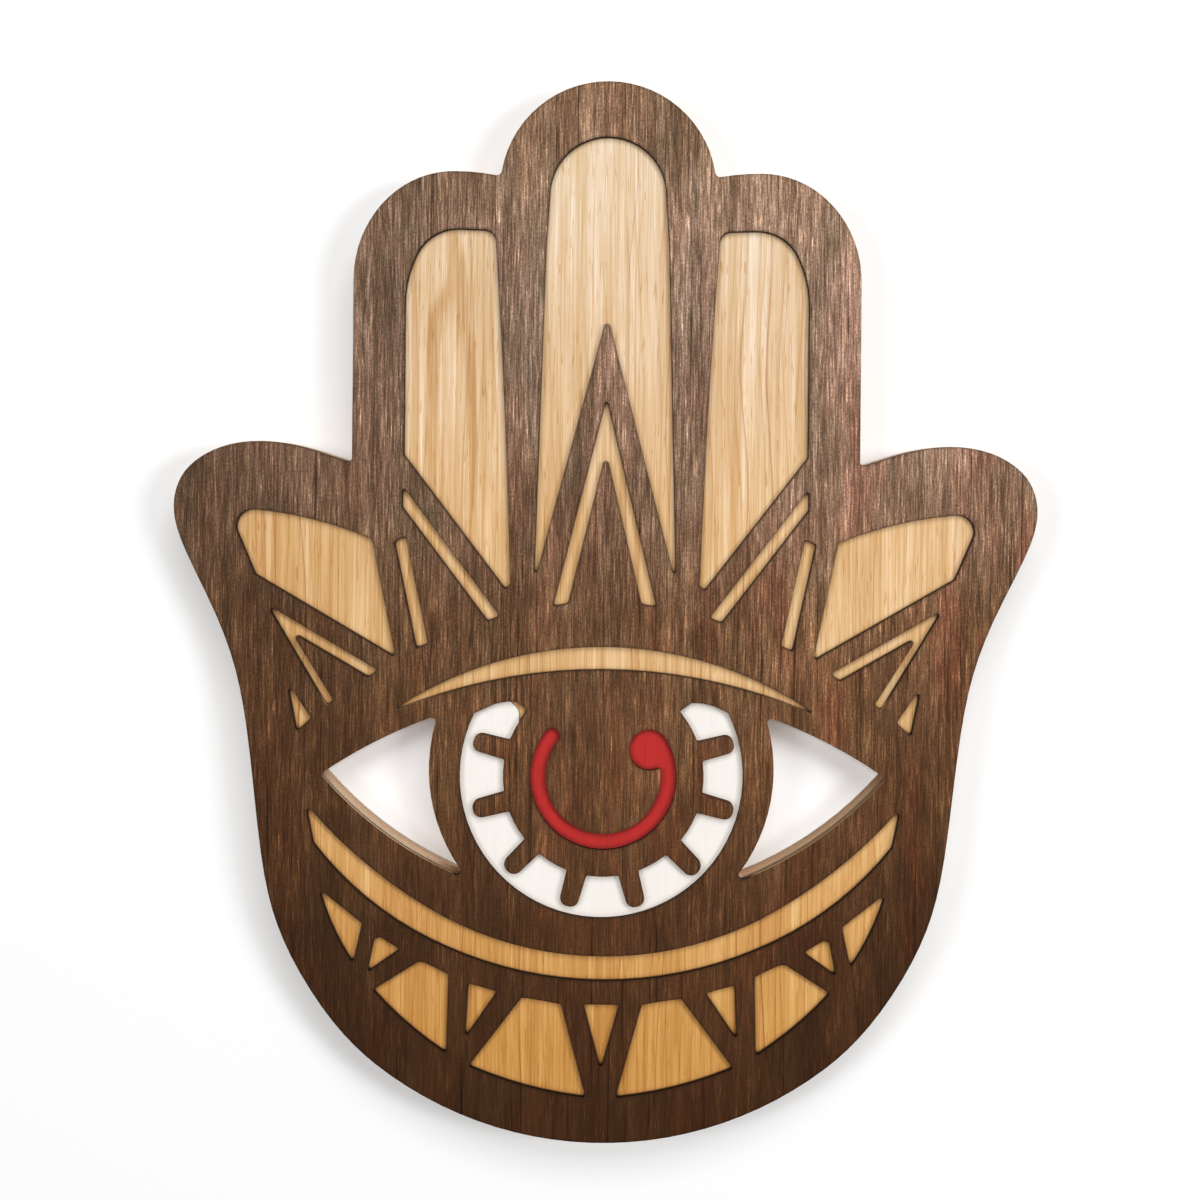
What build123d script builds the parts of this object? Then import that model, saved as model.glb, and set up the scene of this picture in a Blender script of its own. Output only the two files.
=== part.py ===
from build123d import *
import math
import os

# Hamsa hand wall plaque built up from layers of wood, in millimetres.
# X runs across the plaque, Z runs up it, and its front faces -Y.
# The origin is the middle of the keyhole's round entry, halfway through the hanger plate.

# Whole plaque
plaque_width = 330.6
plaque_height = 406.4
face_thickness = 3.2
panel_thickness = 3.2
core_thickness = 15.9
backing_rise = 0.4

# Outline: widths and radii as shares of half the plaque's width, heights as shares of its height
middle_finger_radius_share = 0.2505
middle_finger_notch_angle = 6.5
side_finger_edge_share = 0.5883
side_finger_height_share = 0.9141
side_finger_shoulder_width_share = 0.2311
side_finger_shoulder_drop_share = 0.1021
thumb_web_height_share = 0.6380
palm_radius_share = 0.853
palm_arc_share = 0.52
finger_notch_radius = 2.0
thumb_web_radius = 1.6

# Thumb and palm edge on the right, from the web down to the palm's arc, with the same shares across and up
thumb_and_palm_shares = [
    (0.696, 0.6517),
    (0.809, 0.6576),
    (0.904, 0.6502),
    (0.980, 0.6264),
    (1.000, 0.5963),
    (0.972, 0.5550),
    (0.905, 0.4989),
    (0.854, 0.4433),
    (0.826, 0.3857),
    (0.797, 0.2875),
    (0.759, 0.2115),
    (0.675, 0.1425),
    (0.605, 0.1045),
]
web_rise_angle = 17

# Windows in the face. Each row is a corner on the right-hand half, taken clockwise: across as a share of
# half the width, up as a share of the height, and how far the side that follows bows outwards as a share
# of its chord. A window that crosses the middle starts and ends on the middle line.
middle_window_shares = {
    "middle_finger": [
        (0.000, 0.9478, 0.207),
        (0.136, 0.8928, 0.000),
        (0.144, 0.8462, 0.000),
        (0.166, 0.5220, 0.000),
        (0.000, 0.7772, 0.000),
    ],
    "centre_lash": [
        (0.0000, 0.7041, 0.000),
        (0.1216, 0.5048, 0.000),
        (0.0841, 0.5073, 0.000),
        (0.0000, 0.6483, 0.000),
    ],
    "upper_eyelid": [
        (0.0000, 0.4676, 0.0785),
        (0.5064, 0.4013, -0.0529),
        (0.0000, 0.4454, 0.0000),
    ],
    "smile": [
        (0.000, 0.1756, -0.060),
        (0.368, 0.2121, -0.046),
        (0.689, 0.3173, 0.010),
        (0.671, 0.2797, 0.064),
        (0.362, 0.1830, 0.052),
        (0.000, 0.1524, 0.000),
    ],
    "chin_wedge": [
        (0.000, 0.1303, 0.000),
        (0.043, 0.1303, 0.000),
        (0.000, 0.0671, 0.000),
    ],
}
side_window_shares = {
    "side_finger": [
        (0.258, 0.8483, 0.200),
        (0.286, 0.8594, 0.000),
        (0.347, 0.8601, 0.143),
        (0.442, 0.8362, 0.060),
        (0.469, 0.7870, 0.000),
        (0.469, 0.6465, 0.000),
        (0.231, 0.5205, 0.000),
        (0.218, 0.5247, 0.005),
    ],
    "long_lash": [
        (0.4713, 0.6180, 0.000),
        (0.4719, 0.5973, 0.000),
        (0.2716, 0.4903, 0.000),
        (0.2414, 0.4950, 0.000),
    ],
    "short_lash": [
        (0.4622, 0.5705, 0.000),
        (0.4894, 0.5648, 0.000),
        (0.4362, 0.4642, 0.000),
        (0.4083, 0.4686, 0.000),
    ],
    "thumb": [
        (0.540, 0.5673, 0.040),
        (0.814, 0.5946, 0.250),
        (0.854, 0.5737, 0.000),
        (0.811, 0.5328, 0.000),
        (0.483, 0.4553, 0.000),
    ],
    "thumb_lash": [
        (0.7834, 0.5048, 0.000),
        (0.6425, 0.4091, 0.000),
        (0.6261, 0.4145, 0.000),
        (0.7253, 0.4787, 0.000),
        (0.5463, 0.4366, 0.000),
        (0.5227, 0.4433, 0.000),
    ],
    "lash_tick": [
        (0.7356, 0.4327, 0.000),
        (0.7120, 0.3847, 0.000),
        (0.6770, 0.3975, 0.000),
    ],
    "outer_wedge": [
        (0.6570, 0.2373, 0.042),
        (0.5759, 0.1665, 0.000),
        (0.5554, 0.2048, 0.000),
    ],
    "small_wedge": [
        (0.5130, 0.1921, 0.000),
        (0.5293, 0.1901, 0.000),
        (0.5445, 0.1581, 0.000),
        (0.4658, 0.1805, 0.000),
    ],
    "cheek_wedge": [
        (0.354, 0.1571, 0.020),
        (0.408, 0.1679, 0.100),
        (0.427, 0.1687, 0.000),
        (0.530, 0.1423, 0.034),
        (0.358, 0.0828, 0.000),
    ],
    "narrow_wedge": [
        (0.2396, 0.1416, 0.000),
        (0.3097, 0.1497, 0.000),
        (0.3164, 0.0963, 0.000),
    ],
    "lower_wedge": [
        (0.093, 0.1303, 0.010),
        (0.185, 0.1364, 0.000),
        (0.307, 0.0712, 0.038),
        (0.034, 0.0424, 0.000),
    ],
}
face_cutter_radius = 0.8
eyelid_tip_radius = 0.5
slight_bend_angle = 8
tip_tolerance_share = 0.0001

# Eye: two lid arcs meet at the corners. Heights are shares of the plaque's height.
eye_height_share = 0.3452
eye_corner_share = 0.6552
upper_lid_rise_share = 0.0834
lower_lid_drop_share = 0.1221
iris_radius_share = 0.1336
through_cutter_radius = 1.6

# Iris: a ring window with teeth on its inner disc, closed at the top by the lid, as shares of its radius.
# The frame and the ring window's outer edge sit a little off the disc's centre.
iris_frame_radius_share = 1.2155
iris_frame_rise_share = 0.0479
iris_surround_shift_share = 0.0147
iris_disc_radius_share = 0.7072
iris_lid_shares = [
    (1.200, 0.305),
    (0.771, 0.503),
    (0.690, 0.521),
    (0.619, 0.523),
    (0.500, 0.437),
]
tooth_count = 8
tooth_first_angle = 165
tooth_step = 30
tooth_reach_share = 0.9484
tooth_root_width_share = 0.1473
tooth_tip_width_share = 0.1289
tooth_tip_radius_share = 0.0589

# Pupil: a hooked slot with a round head, as shares of the iris's radius
pupil_slot_radius_share = 0.4613
pupil_slot_width_share = 0.1123
pupil_tail_angle = 142.2
pupil_head_angle = 30.5
pupil_head_radius_share = 0.1436

# Painted plates let into the oak panel, with the white plate's ends as shares of the iris's radius
inlay_lap = 3.5
inlay_clearance = 0.2
white_plate_left_end_share = 0.6004
white_plate_right_end_share = 0.4825
white_plate_cut_rise_share = 0.4512
white_plate_lid_lap = 1.0
white_plate_corner_radius = 4.0

# Keyhole hanger plate, let into the back of the core
hanger_height_share = 0.7923
hanger_length = 44.0
hanger_width = 16.0
hanger_thickness = 1.8
hanger_corner_radius = 3.0
hanger_clearance = 0.2
keyhole_entry_radius = 4.75
keyhole_slot_width = 4.8
keyhole_slot_rise = 8.0
head_pocket_radius = 6.0
head_pocket_depth = 7.0
hanger_screw_spacing = 32.0

# Countersunk screws of the hanger plate
screw_head_radius = 3.4
screw_shank_radius = 1.45
screw_length = 12.0
screw_tip_length = 3.0
screw_drive_radius = 1.8
screw_drive_width = 0.9
screw_drive_depth = 0.9
screw_clearance = 0.15

# Felt pads between the back and the wall
pad_radius = 10.0
pad_thickness = 2.0
pad_edge_radius = 0.6
upper_pad_shares = (0.42, 0.840)
lower_pad_shares = (0.48, 0.150)

half_width = plaque_width / 2
eye_height = eye_height_share * plaque_height
iris_radius = iris_radius_share * plaque_height
iris_disc_radius = iris_disc_radius_share * iris_radius
iris_surround_shift = iris_surround_shift_share * iris_radius
pupil_slot_radius = pupil_slot_radius_share * iris_radius
pupil_slot_width = pupil_slot_width_share * iris_radius
pupil_outer_radius = pupil_slot_radius + pupil_slot_width / 2
hanger_height = hanger_height_share * plaque_height
hanger_centre_rise = keyhole_slot_rise / 2
back_depth = hanger_thickness / 2
core_front = back_depth - core_thickness
panel_front = core_front - panel_thickness
face_front = panel_front - face_thickness


def layer_plane(depth, rise=0):
    """The plane of a layer at a depth along Y, with its own origin at the plaque's lowest edge."""
    return Plane(origin=(0, depth, rise - hanger_height), x_dir=(1, 0, 0), z_dir=(0, -1, 0))


def both_sides(drawing):
    """A drawing of the right-hand half together with its mirror image."""
    return drawing + mirror(drawing, about=Plane.YZ)


def side(start, end, bow):
    """One side of a window, straight or bowed outwards by a share of its length."""
    if bow == 0:
        return Line(start, end)
    return SagittaArc(start, end, bow * math.dist(start, end))


def window(corner_shares):
    """A closed window drawn clockwise through its corners."""
    corners = [(across * half_width, up * plaque_height) for across, up, bow in corner_shares]
    following = corners[1:] + corners[:1]
    bows = [bow for across, up, bow in corner_shares]
    return make_face([side(*ends) for ends in zip(corners, following, bows)])


def is_sharp(corner, drawing):
    """Whether the outline turns at this corner by more than a slight bend."""
    place = corner.center()
    ways = [((edge @ 0 - place).length, edge % 0) for edge in drawing.edges()]
    ways += [((edge @ 1 - place).length, -(edge % 1)) for edge in drawing.edges()]
    nearest, next_nearest = sorted(ways, key=lambda way: way[0])[:2]
    return nearest[1].get_angle(next_nearest[1]) < 180 - slight_bend_angle


def rounded(drawing, radius):
    """A drawing whose sharp corners are rounded to the cutter's radius."""
    return fillet([corner for corner in drawing.vertices() if is_sharp(corner, drawing)], radius)


def hand_outline():
    """Outline of the whole hand."""
    finger_radius = middle_finger_radius_share * half_width
    notch_turn = math.radians(middle_finger_notch_angle)
    notch_height = plaque_height - finger_radius + finger_radius * math.sin(notch_turn)
    notch = (finger_radius * math.cos(notch_turn), notch_height)
    side_edge = side_finger_edge_share * half_width
    shoulder_width = side_finger_shoulder_width_share * half_width
    shoulder_drop = side_finger_shoulder_drop_share * plaque_height
    shoulder_centre = (side_edge - shoulder_width, side_finger_height_share * plaque_height - shoulder_drop)
    shoulder = EllipticalCenterArc(shoulder_centre, shoulder_width, shoulder_drop, start_angle=0, arc_size=90)
    web = (side_edge, thumb_web_height_share * plaque_height)
    edge_points = [(across * half_width, up * plaque_height) for across, up in thumb_and_palm_shares]
    palm_radius = palm_radius_share * half_width
    palm_reach = palm_arc_share * half_width
    palm_end = (palm_reach, palm_radius - math.sqrt(palm_radius**2 - palm_reach**2))
    palm = RadiusArc(palm_end, (0, 0), palm_radius)
    web_turn = math.radians(web_rise_angle)
    ways = [(math.cos(web_turn), math.sin(web_turn)), palm % 0]
    thumb_and_palm = Spline([web, *edge_points, palm_end], tangents=ways, tangent_scalars=[1, 1])
    half = make_face(
        [
            RadiusArc((0, plaque_height), notch, finger_radius),
            TangentArc(shoulder @ 1, notch, tangent=(-1, 0)),
            shoulder,
            Line(shoulder @ 0, web),
            thumb_and_palm,
            palm,
            Line((0, 0), (0, plaque_height)),
        ]
    )
    half = fillet(half.vertices().sort_by_distance(notch)[0], finger_notch_radius)
    half = fillet(half.vertices().sort_by_distance(web)[0], thumb_web_radius)
    return both_sides(half)


def eye_corner_openings():
    """Openings left and right of the iris frame, cut right through the plaque."""
    reach = eye_corner_share * half_width
    left_corner = (-reach, eye_height)
    right_corner = (reach, eye_height)
    upper_middle = (0, eye_height + upper_lid_rise_share * plaque_height)
    lower_middle = (0, eye_height - lower_lid_drop_share * plaque_height)
    upper_lid = ThreePointArc(left_corner, upper_middle, right_corner)
    lower_lid = ThreePointArc(right_corner, lower_middle, left_corner)
    frame_rise = iris_frame_rise_share * iris_radius
    frame = Pos(-iris_surround_shift, eye_height + frame_rise) * Circle(iris_frame_radius_share * iris_radius)
    return rounded(make_face([upper_lid, lower_lid]) - frame, through_cutter_radius)


def below_lid(ring, raised=0):
    """A drawing about the iris's centre with the part that the lid covers taken off."""
    right_edge = [(across * iris_radius, up * iris_radius + raised) for across, up in iris_lid_shares]
    left_edge = [(-across, up) for across, up in reversed(right_edge)]
    reach = right_edge[0][0]
    cover = Polygon(*right_edge, *left_edge, (-reach, reach), (reach, reach), align=None)
    return ring - cover


def iris_window():
    """Ring window round the iris disc, between the disc's teeth and under the lid."""
    reach = tooth_reach_share * iris_radius
    root = iris_disc_radius - inlay_lap
    half_root = tooth_root_width_share * iris_radius / 2
    half_tip = tooth_tip_width_share * iris_radius / 2
    tooth = Polygon((root, half_root), (reach, half_tip), (reach, -half_tip), (root, -half_root), align=None)
    surround = Pos(-iris_surround_shift) * Circle(iris_radius)
    ring = below_lid(surround - Circle(iris_disc_radius))
    for number in range(tooth_count):
        ring -= Rot(0, 0, tooth_first_angle + number * tooth_step) * tooth
    tip_distance = math.hypot(reach, half_tip)

    def at_tip(corner):
        return math.isclose(corner.center().length, tip_distance, rel_tol=tip_tolerance_share)

    tip_radius = tooth_tip_radius_share * iris_radius
    ring = fillet([corner for corner in ring.vertices() if not at_tip(corner)], face_cutter_radius)
    ring = fillet([corner for corner in ring.vertices() if at_tip(corner)], tip_radius)
    return Pos(0, eye_height) * ring


def pupil_slot():
    """Hooked slot in the pupil with a round head at its upper end."""
    sweep = 360 + pupil_head_angle - pupil_tail_angle
    centre_line = CenterArc((0, 0), pupil_slot_radius, pupil_tail_angle, sweep)
    hook = SlotArc(centre_line, pupil_slot_width)
    head_turn = math.radians(pupil_head_angle)
    head_radius = pupil_head_radius_share * iris_radius
    head_offset = pupil_outer_radius - head_radius
    head = Pos(head_offset * math.cos(head_turn), head_offset * math.sin(head_turn)) * Circle(head_radius)
    slot = hook + head
    inner_corner = slot.vertices().sort_by(Axis.Y)[0]
    return Pos(0, eye_height) * fillet(inner_corner, face_cutter_radius)


def white_plate_drawing():
    """Broad ring behind the iris window, open at the top, whose left end is cut short at an angle."""
    outer_radius = iris_radius + inlay_lap
    ring = below_lid(Circle(outer_radius) - Circle(iris_disc_radius - inlay_lap), white_plate_lid_lap)
    left_end = -white_plate_left_end_share * iris_radius
    right_end = white_plate_right_end_share * iris_radius
    cut_rise = white_plate_cut_rise_share * iris_radius
    cut_end = left_end + cut_rise - outer_radius
    throat = Polygon(
        (left_end, 0),
        (left_end, cut_rise),
        (cut_end, outer_radius),
        (right_end, outer_radius),
        (right_end, 0),
        align=None,
    )
    blunted = offset(offset(ring - throat, -white_plate_corner_radius), white_plate_corner_radius)
    return Pos(0, eye_height) * blunted


def red_plate_drawing():
    """Disc behind the pupil's slot."""
    return Pos(0, eye_height) * Circle(pupil_outer_radius + inlay_lap)


def face_fretwork():
    """Dark front layer with every window cut through it."""
    drawing = hand_outline() - eye_corner_openings() - iris_window() - pupil_slot()
    for name, corners in middle_window_shares.items():
        cutter_radius = eyelid_tip_radius if name == "upper_eyelid" else face_cutter_radius
        drawing -= rounded(both_sides(window(corners)), cutter_radius)
    for corners in side_window_shares.values():
        drawing -= both_sides(rounded(window(corners), face_cutter_radius))
    return extrude(layer_plane(panel_front) * drawing, face_thickness)


def panel_layer(drawing):
    """A piece of the layer behind the face."""
    return extrude(layer_plane(core_front, backing_rise) * drawing, panel_thickness)


def oak_panel():
    """Oak layer behind the face, with pockets for the two painted plates."""
    drawing = hand_outline() - eye_corner_openings()
    drawing -= offset(white_plate_drawing(), inlay_clearance)
    drawing -= offset(red_plate_drawing(), inlay_clearance)
    return panel_layer(drawing)


def keyhole_drawing():
    """Round entry with a narrower slot above it, about the entry's centre."""
    slot = Pos(0, keyhole_slot_rise / 2) * Rectangle(keyhole_slot_width, keyhole_slot_rise)
    slot_end = Pos(0, keyhole_slot_rise) * Circle(keyhole_slot_width / 2)
    return Circle(keyhole_entry_radius) + slot + slot_end


def screw_places():
    """Heights of the two hanger screws from the keyhole's entry."""
    half_spacing = hanger_screw_spacing / 2
    return [hanger_centre_rise - half_spacing, hanger_centre_rise + half_spacing]


def at_back(depth, height=0):
    """A placement on the hanger's axis at a depth inside the back, looking out of the back."""
    return Plane(origin=(0, back_depth - depth, height), x_dir=(-1, 0, 0), z_dir=(0, 1, 0))


def keyhole_hanger_plate():
    """Steel plate with a keyhole and two countersunk holes, flush with the back."""
    outline = RectangleRounded(hanger_width, hanger_length, hanger_corner_radius)
    drawing = Pos(0, hanger_centre_rise) * outline - keyhole_drawing()
    plate = extrude(at_back(hanger_thickness) * drawing, hanger_thickness)
    hole_mouth = screw_head_radius + screw_clearance
    for height in screw_places():
        plate -= at_back(hanger_thickness / 2, height) * Cone(
            hole_mouth - hanger_thickness, hole_mouth, hanger_thickness
        )
    return plate


def hanger_screw():
    """Countersunk screw standing on its tip along +Z, with the top of its head at zero."""
    head_depth = screw_head_radius - screw_shank_radius
    straight_length = screw_length - head_depth - screw_tip_length
    profile = Polygon(
        (0, 0),
        (screw_head_radius, 0),
        (screw_shank_radius, -head_depth),
        (screw_shank_radius, -head_depth - straight_length),
        (0, -screw_length),
        align=None,
    )
    screw = revolve(Plane.XZ * profile, Axis.Z)
    slot = Box(2 * screw_drive_radius, screw_drive_width, 2 * screw_drive_depth)
    return screw - slot - Rot(0, 0, 90) * slot


def hanger_screws():
    """The two screws of the hanger plate in their places."""
    return Compound(children=[at_back(0, height) * hanger_screw() for height in screw_places()])


def backing_core():
    """Thick board with the hanger's recess, the pocket for a screw's head and the two pilot holes."""
    drawing = hand_outline() - eye_corner_openings()
    core = extrude(layer_plane(back_depth, backing_rise) * drawing, core_thickness)
    recess_outline = RectangleRounded(
        hanger_width + 2 * hanger_clearance,
        hanger_length + 2 * hanger_clearance,
        hanger_corner_radius + hanger_clearance,
    )
    recess = Pos(0, hanger_centre_rise) * recess_outline
    core -= extrude(at_back(hanger_thickness) * recess, hanger_thickness)
    pocket = Pos(0, keyhole_slot_rise / 2) * SlotOverall(
        keyhole_slot_rise + 2 * head_pocket_radius, 2 * head_pocket_radius, rotation=90
    )
    core -= extrude(at_back(hanger_thickness + head_pocket_depth) * pocket, head_pocket_depth)
    pilot_radius = screw_shank_radius + screw_clearance
    for height in screw_places():
        core -= at_back(screw_length / 2, height) * Cylinder(pilot_radius, screw_length + 2 * screw_clearance)
    return core


def wall_pad(across_share, up_share):
    """Round felt pad on the back, with its edge rounded towards the wall."""
    pad = Cylinder(pad_radius, pad_thickness, align=(Align.CENTER, Align.CENTER, Align.MIN))
    pad = fillet(pad.edges().sort_by(Axis.Z)[-1], pad_edge_radius)
    height = up_share * plaque_height - hanger_height
    place = Plane(origin=(across_share * half_width, back_depth, height), x_dir=(-1, 0, 0), z_dir=(0, 1, 0))
    return place * pad


def wall_pads():
    """The four pads by name."""
    pads = {}
    for level, (across, up) in {"upper": upper_pad_shares, "lower": lower_pad_shares}.items():
        pads[f"wall_pad_{level}_left"] = wall_pad(-across, up)
        pads[f"wall_pad_{level}_right"] = wall_pad(across, up)
    return pads


def build_plaque():
    """Every piece of the plaque by name."""
    return {
        "face_fretwork": face_fretwork(),
        "oak_panel": oak_panel(),
        "iris_white_plate": panel_layer(white_plate_drawing()),
        "pupil_red_plate": panel_layer(red_plate_drawing()),
        "backing_core": backing_core(),
        "keyhole_hanger_plate": keyhole_hanger_plate(),
        "hanger_screws": hanger_screws(),
        **wall_pads(),
    }


if __name__ == "__main__":
    os.makedirs("parts", exist_ok=True)
    for name, piece in build_plaque().items():
        export_step(piece, f"parts/{name}.step")
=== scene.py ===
# Layered wooden hamsa hand plaque, hung on a white wall
import math

import bmesh
import bpy
from mathutils import Matrix, Vector


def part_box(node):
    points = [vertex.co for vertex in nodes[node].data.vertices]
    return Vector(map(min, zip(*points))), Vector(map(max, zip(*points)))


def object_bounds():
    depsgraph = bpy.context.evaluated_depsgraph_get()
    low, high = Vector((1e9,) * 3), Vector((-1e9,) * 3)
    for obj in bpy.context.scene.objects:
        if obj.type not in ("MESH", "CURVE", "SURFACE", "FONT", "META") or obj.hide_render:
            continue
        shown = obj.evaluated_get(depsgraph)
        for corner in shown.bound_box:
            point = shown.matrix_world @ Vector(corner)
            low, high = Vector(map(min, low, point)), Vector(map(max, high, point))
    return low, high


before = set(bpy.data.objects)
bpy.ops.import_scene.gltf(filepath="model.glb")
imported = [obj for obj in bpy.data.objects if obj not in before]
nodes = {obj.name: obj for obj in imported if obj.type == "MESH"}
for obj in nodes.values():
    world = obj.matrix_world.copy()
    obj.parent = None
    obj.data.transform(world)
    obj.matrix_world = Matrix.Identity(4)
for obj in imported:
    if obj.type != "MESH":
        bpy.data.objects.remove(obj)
cad_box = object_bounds()

# Boxes of the plaque and of its three boards, in metres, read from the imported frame
hand_low, hand_high = cad_box
face_low, face_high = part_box("face_fretwork")
panel_low, panel_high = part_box("oak_panel")
core_low, core_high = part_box("backing_core")
hand_centre = (hand_low + hand_high) / 2
hand_height = hand_high.z - hand_low.z

# The edges that face the middle of the hand get the darkest line, char under painted shade of the cut wall,
# with that middle as a share of its height
char_and_shade_middle_share = 0.62

# The openings at the corners of the eye: how far out they reach, their top, and the slanted line under them
eye_opening_inner = 0.0565
eye_opening_outer = 0.112
eye_opening_top = -0.150
eye_opening_foot = -0.2716
eye_opening_slope = 0.707
eye_opening_soft_inner_edge = 0.002
eye_opening_soft_edge = 0.004

# The brown shade on the wall at their upper inner corners: where it fades, its reach, depth and strength
corner_fade_out = (0.080, 0.066)
corner_fade_down = (-0.176, -0.160)
corner_brown_reach = 0.030
corner_brown_fade = (0.70, 0.25)
corner_brown_share = 0.75

# The flame figure in the oak of the left finger: its middle, half sizes, sway, ripple and where it fades
flame_across = -0.0625
flame_height = -0.062
flame_half_width = 0.0092
flame_half_height = 0.082
flame_sway = 0.006
flame_sway_waves = 28.0
flame_ripple = 0.75
flame_ripples_across = 620.0
flame_ripples_along = 26.0
flame_inner_fade = (0.60, 0.82)
flame_outer_fade = (1.14, 0.94)
flame_top_fade = (-0.012, 0.006)
flame_foot_fade = (-0.085, -0.02)

# The wall behind the plaque and the floor under it
wall_front = hand_high.y
wall_width = 1.7
wall_height = 1.5
wall_white = (0.94, 0.94, 0.94, 1.0)
# Painted light: the wall inside the eye's openings is a brighter, bluer white
opening_painted_light = (0.94, 0.96, 0.98, 1.0)
opening_brown = (0.30, 0.22, 0.16, 1.0)
floor_side = 6.0
floor_height = -wall_height / 2
floor_level = 0.55

FLOAT, VECTOR = "NodeSocketFloat", "NodeSocketVector"


# Small helpers for the shader nodes

def add(tree, kind, **settings):
    made = tree.nodes.new(kind)
    for name, value in settings.items():
        setattr(made, name, value)
    return made


def feed(tree, socket, source):
    """A link into the socket where the source is one, and otherwise the source as its value."""
    if isinstance(source, bpy.types.NodeSocket):
        tree.links.new(source, socket)
    else:
        socket.default_value = source


def calc(tree, operation, first, second=None, third=None):
    made = add(tree, "ShaderNodeMath", operation=operation)
    for socket, source in zip(made.inputs, (first, second, third)):
        if source is not None:
            feed(tree, socket, source)
    return made.outputs[0]


def vector_calc(tree, operation, first, second=None):
    made = add(tree, "ShaderNodeVectorMath", operation=operation)
    feed(tree, made.inputs[0], first)
    if second is not None:
        feed(tree, made.inputs[1], second)
    return made.outputs["Value" if operation == "DOT_PRODUCT" else "Vector"]


def product(tree, first, second):
    return calc(tree, "MULTIPLY", first, second)


def span(tree, value, low, high, to_low=0.0, to_high=1.0):
    """The value between low and high spread over to_low to to_high, and held there past them."""
    made = add(tree, "ShaderNodeMapRange")
    for name, source in (
        ("Value", value), ("From Min", low), ("From Max", high), ("To Min", to_low), ("To Max", to_high),
    ):
        feed(tree, made.inputs[name], source)
    return made.outputs["Result"]


def blend(tree, share, first, second, how="MIX"):
    made = add(tree, "ShaderNodeMix", data_type="RGBA", blend_type=how)
    feed(tree, made.inputs[0], share)
    feed(tree, made.inputs[6], first)
    feed(tree, made.inputs[7], second)
    return made.outputs[2]


def tinted(tree, share, tone, tint):
    """The tone multiplied by a tint, as far as the share says."""
    return blend(tree, share, tone, tint, "MULTIPLY")


def between(tree, share, first, second):
    """A plain number that goes from the first to the second as the share rises."""
    made = add(tree, "ShaderNodeMix", data_type="FLOAT")
    feed(tree, made.inputs[0], share)
    feed(tree, made.inputs[2], first)
    feed(tree, made.inputs[3], second)
    return made.outputs[0]


def doubled(tree, amount, red, green, blue):
    """Two to the power of the amount, with its own share of it for each of the three colours."""
    made = add(tree, "ShaderNodeCombineColor")
    for socket, share in zip(made.inputs, (red, green, blue)):
        feed(tree, socket, calc(tree, "POWER", 2.0, product(tree, amount, share)))
    return made.outputs[0]


def off_middle(tree, value, times, more):
    """How far the value is from one half, times a number, added to what is there already."""
    return calc(tree, "MULTIPLY_ADD", calc(tree, "SUBTRACT", value, 0.5), times, more)


def ramp(tree, value, stops):
    """A colour for each height in the stops, blended from each to the next."""
    made = add(tree, "ShaderNodeValToRGB")
    line = made.color_ramp.elements
    while len(line) < len(stops):
        line.new(0.5)
    for element, (at, _) in zip(line, stops):
        element.position = at
    for element, (_, colour) in zip(line, stops):
        element.color = colour
    feed(tree, made.inputs[0], value)
    return made.outputs[0]


def group(name, inputs, outputs):
    """An empty shader group, with its inputs given as (name, kind, value) and its outputs by name."""
    tree = bpy.data.node_groups.new(name, "ShaderNodeTree")
    for title, kind, value in inputs:
        socket = tree.interface.new_socket(name=title, in_out="INPUT", socket_type=kind)
        if value is not None:
            socket.default_value = value
    for title in outputs:
        tree.interface.new_socket(name=title, in_out="OUTPUT", socket_type=FLOAT)
    return tree, add(tree, "NodeGroupInput"), add(tree, "NodeGroupOutput")


def use(tree, shared, **values):
    """A shared group placed in a material, fed by the names of its inputs."""
    made = add(tree, "ShaderNodeGroup", node_tree=shared)
    for name, value in values.items():
        feed(tree, made.inputs[name], value)
    return made.outputs


def axes_of(tree, vector):
    made = add(tree, "ShaderNodeSeparateXYZ")
    feed(tree, made.inputs[0], vector)
    return made.outputs


def vector_of(tree, x, y, z):
    made = add(tree, "ShaderNodeCombineXYZ")
    for socket, source in zip(made.inputs, (x, y, z)):
        feed(tree, socket, source)
    return made.outputs[0]


def noise(tree, where, dimensions="3D", **settings):
    """Soft noise over a vector, or over a plain number where it has one dimension."""
    made = add(tree, "ShaderNodeTexNoise", noise_dimensions=dimensions)
    feed(tree, made.inputs["W" if dimensions == "1D" else "Vector"], where)
    for name, value in settings.items():
        feed(tree, made.inputs[name], value)
    return made.outputs["Fac"]


# Effects that the finishes draw on

def make_grain():
    """Noise drawn out along the height of the board, as wood fibres run."""
    tree, start, end = group(
        "grain along the board",
        [("Vector", VECTOR, None), ("Across", FLOAT, 900.0), ("Along", FLOAT, 60.0), ("Seed", FLOAT, 0.0),
         ("Detail", FLOAT, 3.0), ("Roughness", FLOAT, 0.6)],
        ["Value"],
    )
    x, y, z = axes_of(tree, start.outputs["Vector"])
    across, seed = start.outputs["Across"], start.outputs["Seed"]
    drawn_out = vector_of(
        tree,
        calc(tree, "MULTIPLY_ADD", x, across, seed),
        product(tree, y, across),
        calc(tree, "MULTIPLY_ADD", z, start.outputs["Along"], seed),
    )
    value = noise(
        tree, drawn_out, Scale=1.0, Detail=start.outputs["Detail"], Roughness=start.outputs["Roughness"])
    tree.links.new(value, end.inputs["Value"])
    return tree


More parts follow.
